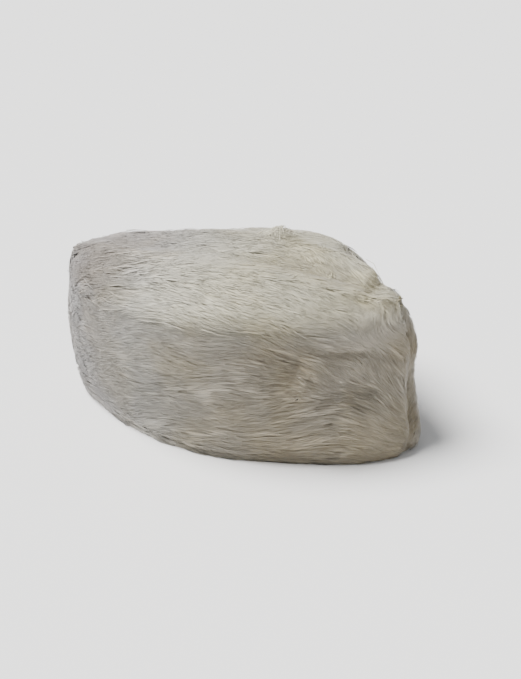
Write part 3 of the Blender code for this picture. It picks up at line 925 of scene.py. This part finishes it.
def cream_patches_and_painted_shade(tree, colour):
    """Cream that yellows a little in patches and on top. Low towards the front it is darker and warmer,
    painted shade with a warmer tone, and towards the back it is greyer, painted shade."""
    coords = node(tree, "TexCoord")
    place = node(tree, "SeparateXYZ")
    tree.links.new(coords.outputs["Object"], place.inputs["Vector"])
    x, z = place.outputs["X"], place.outputs["Z"]
    patches = node(tree, "TexNoise", {"Scale": 24.0, "Detail": 3.0})
    tree.links.new(coords.outputs["Object"], patches.inputs["Vector"])
    patchy = map_range(tree, patches.outputs["Fac"], 0.40, 0.68)
    colour = tint(tree, patchy, colour, (0.985, 0.945, 0.84))
    colour = tint(tree, map_range(tree, x, -0.11, 0.02), colour, (0.99, 0.96, 0.89))
    # Painted shade: greyer and darker towards the back, more so high up
    back_shade = map_range(tree, x, -0.02, -0.09)
    colour = tint(tree, back_shade, colour, (0.81, 0.775, 0.81))
    back_top_shade = multiply(tree, back_shade, map_range(tree, z, 0.045, 0.098))
    colour = tint(tree, back_top_shade, colour, (0.84, 0.83, 0.84))
    top = multiply(tree, map_range(tree, x, -0.06, 0.03), map_range(tree, z, 0.085, 0.105))
    colour = tint(tree, top, colour, (0.98, 0.965, 0.815))
    # Painted shade with a warmer tone: darker and warmer low towards the front
    forward = map_range(tree, x, -0.06, 0.08)
    low = map_range(tree, z, 0.108, 0.078)
    return tint(tree, multiply(tree, forward, low), colour, (0.965, 0.892, 0.79))


def new_material(name, roughness):
    material = bpy.data.materials.new(name)
    material.use_nodes = True
    shader = material.node_tree.nodes["Principled BSDF"]
    fill(shader, {"Roughness": roughness})
    return material, material.node_tree, shader


def bump(tree, shader, height, strength, distance):
    made = node(tree, "Bump", {"Strength": strength, "Distance": distance})
    tree.links.new(height, made.inputs["Height"])
    tree.links.new(made.outputs["Normal"], shader.inputs["Normal"])


def strand_material(name, root, low, high):
    """Pale strands: the tone from one coordinate, darker roots from the other."""
    material, tree, shader = new_material(name, 0.45)
    link = tree.links.new
    fill(shader, {"Specular IOR Level": 0.4, "Sheen Weight": 0.2, "Sheen Roughness": 0.5,
                  "Subsurface Weight": 0.35, "Subsurface Radius": (1.0, 0.9, 0.8),
                  "Subsurface Scale": 0.002})
    uv = node(tree, "UVMap", uv_map="strand")
    parts = node(tree, "SeparateXYZ")
    link(uv.outputs["UV"], parts.inputs["Vector"])
    tone = ramp(tree, [(0.0, low), (1.0, high)])
    link(parts.outputs["X"], tone.inputs["Fac"])
    depth = ramp(tree, [(0.0, root), (0.5, (0.97, 0.965, 0.96)), (1.0, (1.0, 1.0, 1.0))])
    link(parts.outputs["Y"], depth.inputs["Fac"])
    colour = cream_patches_and_painted_shade(tree, tone.outputs["Color"])
    link(tint(tree, None, colour, depth.outputs["Color"]), shader.inputs["Base Color"])
    return material


def ground_material(name, dark, light):
    """Short underfur: streaks that run with the nap, with a bump of the same streaks."""
    material, tree, shader = new_material(name, 0.8)
    link = tree.links.new
    fill(shader, {"Sheen Weight": 0.2})
    uv = node(tree, "UVMap", uv_map="sheet")
    stretch = node(tree, "Mapping", {"Scale": (14.0, 170.0, 1.0)})
    link(uv.outputs["UV"], stretch.inputs["Vector"])
    streaks = node(tree, "TexNoise", {"Scale": 1.0, "Detail": 5.0, "Distortion": 0.6})
    link(stretch.outputs["Vector"], streaks.inputs["Vector"])
    colour = ramp(tree, [(0.3, dark), (0.7, light)])
    link(streaks.outputs["Fac"], colour.inputs["Fac"])
    link(cream_patches_and_painted_shade(tree, colour.outputs["Color"]), shader.inputs["Base Color"])
    bump(tree, shader, streaks.outputs["Fac"], 0.6, 0.0006)
    return material


def backing_material(name):
    """Knitted back of the fur fabric: fine ribs crossed by courses."""
    material, tree, shader = new_material(name, 0.9)
    link = tree.links.new
    uv = node(tree, "UVMap", uv_map="sheet")
    ribs = node(tree, "TexWave", {"Scale": 60.0, "Distortion": 0.6},
                wave_type="BANDS", bands_direction="X")
    courses = node(tree, "TexWave", {"Scale": 34.0, "Distortion": 0.6},
                   wave_type="BANDS", bands_direction="Y")
    link(uv.outputs["UV"], ribs.inputs["Vector"])
    link(uv.outputs["UV"], courses.inputs["Vector"])
    both = multiply(tree, ribs.outputs["Fac"], courses.outputs["Fac"])
    colour = ramp(tree, [(0.0, (0.40, 0.38, 0.34)), (0.6, (0.58, 0.56, 0.51))])
    link(both, colour.inputs["Fac"])
    link(colour.outputs["Color"], shader.inputs["Base Color"])
    bump(tree, shader, both, 0.5, 0.0004)
    return material


def inner_face(side, u, v):
    """Smooth inside of a wall, or of the crown where side is 0."""
    if side == 0:
        return crown_surface(u, 2.0 * v - 1.0, 1.0)
    return panel_surface(side, u, v * ROWS, 1.0)


def build_ground(name, side, w_low, w_high, rows, seed):
    """Woven ground of one panel: it lies under the pile's surface, less deep along the seams."""
    u, v = grid(GROUND_COLUMNS, rows)
    w = w_low + (w_high - w_low) * v
    outer = PILE.read(PILE.point, u, w)
    to_seam = PILE.read(PILE.to_seam, u, w)
    relief = 0.0007 * wave_noise(outer[..., 0] * 0.35, outer[..., 1] * 0.35, outer[..., 2], 0.010, seed)
    depth = BASE_SINK - relief - 0.0006 * fade(to_seam, 0.004)
    depth -= 0.0006 * fade(PILE.read(PILE.to_back, u, w), 0.003)
    depth = np.maximum(depth, LEAST_SINK)
    inward = unit(PILE.read(PILE.normal, u, w))
    if side == 0:
        by_tip = fade(to_seam, 0.005)
        inward = unit(inward + np.array([0.0, 0.0, 4.0]) * by_tip[..., None])
        depth += 0.0020 * by_tip
    outer = outer - inward * depth[..., None]
    if side != 0:
        over = -0.0004 * side
        outer[0] = PILE.read(PILE.point, u[0], w[0]) + np.array([-0.0020, over, 0.0])
        outer[-1] = PILE.read(PILE.point, u[-1], w[-1]) + np.array([0.0014, over, 0.0])
    outer[..., 2] = np.where((w == 0.0) | (w == 3.0), 0.0, np.maximum(outer[..., 2], 0.0))
    piece = grid_piece(name, outer, inner_face(side, u, v), (ground, backing))
    weld_and_face_out(piece)
    return piece


ground = ground_material("underfur", (0.42, 0.40, 0.36), (0.53, 0.51, 0.47))
backing = backing_material("knitted_back")
strands = strand_material("pile", (0.84, 0.82, 0.79), (0.30, 0.287, 0.26), (0.545, 0.527, 0.487))

# The woven ground of each panel
ground_right = build_ground("ground_right", -1, 0.0, 1.0, 65, 21)
ground_left = build_ground("ground_left", 1, 3.0, 2.0, 65, 22)
ground_crown = build_ground("ground_crown", 0, 1.0, 2.0, 33, 23)

# Flat locks underneath, then fine strands over them
UNDER = dict(length=0.026, radius=0.0013, flat=0.22, shares=(0.0, 0.22, 0.48, 0.76, 1.0),
             widths=(0.7, 1.0, 0.95, 0.62), root=-0.0022, low=-0.0009, high=-0.0001, tilt=0.16)
locks_right = fur("locks_right", 0.0, 1.0, 3600, 1, 41, **UNDER)
locks_left = fur("locks_left", 2.0, 3.0, 3600, 1, 42, **UNDER)
locks_crown = fur("locks_crown", 1.0, 2.0, 1500, 1, 43, **UNDER)
fur_right_low = fur("fur_right_low", 0.0, 0.52, 900, 11, 31)
fur_right_high = fur("fur_right_high", 0.48, 1.0, 900, 11, 32)
fur_left_low = fur("fur_left_low", 2.48, 3.0, 850, 9, 33, spread=0.0023)
fur_left_high = fur("fur_left_high", 2.0, 2.52, 850, 9, 34, spread=0.0023)
fur_crown = fur("fur_crown", 1.0, 2.0, 850, 11, 35)
loose = wisps("wisps", 36)

OWNERS = (
    ("side_panel_right", "cream_fur", (ground_right, locks_right, fur_right_low, fur_right_high)),
    ("side_panel_left", "cream_fur", (ground_left, locks_left, fur_left_low, fur_left_high)),
    ("crown_panel", "crown_fur", (ground_crown, locks_crown, fur_crown, loose)),
)
for owner, slot_name, group in OWNERS:
    for piece in group:
        if not piece.data.materials:
            piece.data.materials.append(strands)
        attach(piece, "root")
        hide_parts(owner)

# Floor
bpy.ops.mesh.primitive_plane_add(size=6.0, location=(0.0, 0.0, 0.0))
floor = bpy.context.active_object
floor.name = "floor"
floor_material, _, floor_shader = new_material("pale_floor", 0.9)
fill(floor_shader, {"Base Color": (0.86, 0.86, 0.87, 1.0)})
floor.data.materials.append(floor_material)

# Light: a broad, high sun from the left of the photograph and a weaker, slightly blue world
world = bpy.data.worlds.new("studio")
bpy.context.scene.world = world
world.use_nodes = True
fill(world.node_tree.nodes["Background"], {"Color": (0.94, 0.97, 1.0, 1.0), "Strength": 0.44})

sun = bpy.data.lights.new("key", "SUN")
sun.energy = 8.4
sun.angle = math.radians(32)
sun.color = (1.0, 0.99, 0.96)
sun_holder = add_object("key", sun)
sun_from = Vector((-0.42, -0.22, 0.88))
sun_holder.rotation_euler = (-sun_from).to_track_quat("-Z", "Y").to_euler()

# Camera at the photograph's angle. The point at AIM_Z over the cap's middle shows at AIM_X, AIM_Y
# in the photograph, in pixels from its top left corner
LENS, SENSOR = 70.0, 36.0
PHOTO_WIDTH, PHOTO_HEIGHT = 521.0, 679.0
AIM_X, AIM_Y = 237.8, 338.0
AIM_Z = 0.05
back, right, up = Vector(TOWARDS_CAMERA), Vector(CAMERA_RIGHT), Vector(CAMERA_UP)
focal = LENS / SENSOR * PHOTO_HEIGHT
aim = Vector((BOX_SHIFT[0], BOX_SHIFT[1], AIM_Z))
aim += (right * ((0.5 * PHOTO_WIDTH - AIM_X) / focal * DISTANCE)
        - up * ((0.5 * PHOTO_HEIGHT - AIM_Y) / focal * DISTANCE))
camera_data = bpy.data.cameras.new("camera")
camera_data.lens = LENS
camera_data.sensor_width = SENSOR
camera_data.sensor_height = SENSOR
camera_data.sensor_fit = "AUTO"
camera = add_object("camera", camera_data)
camera.location = aim + back * DISTANCE
camera.rotation_euler = (-back).to_track_quat("-Z", "Y").to_euler()
bpy.context.scene.camera = camera
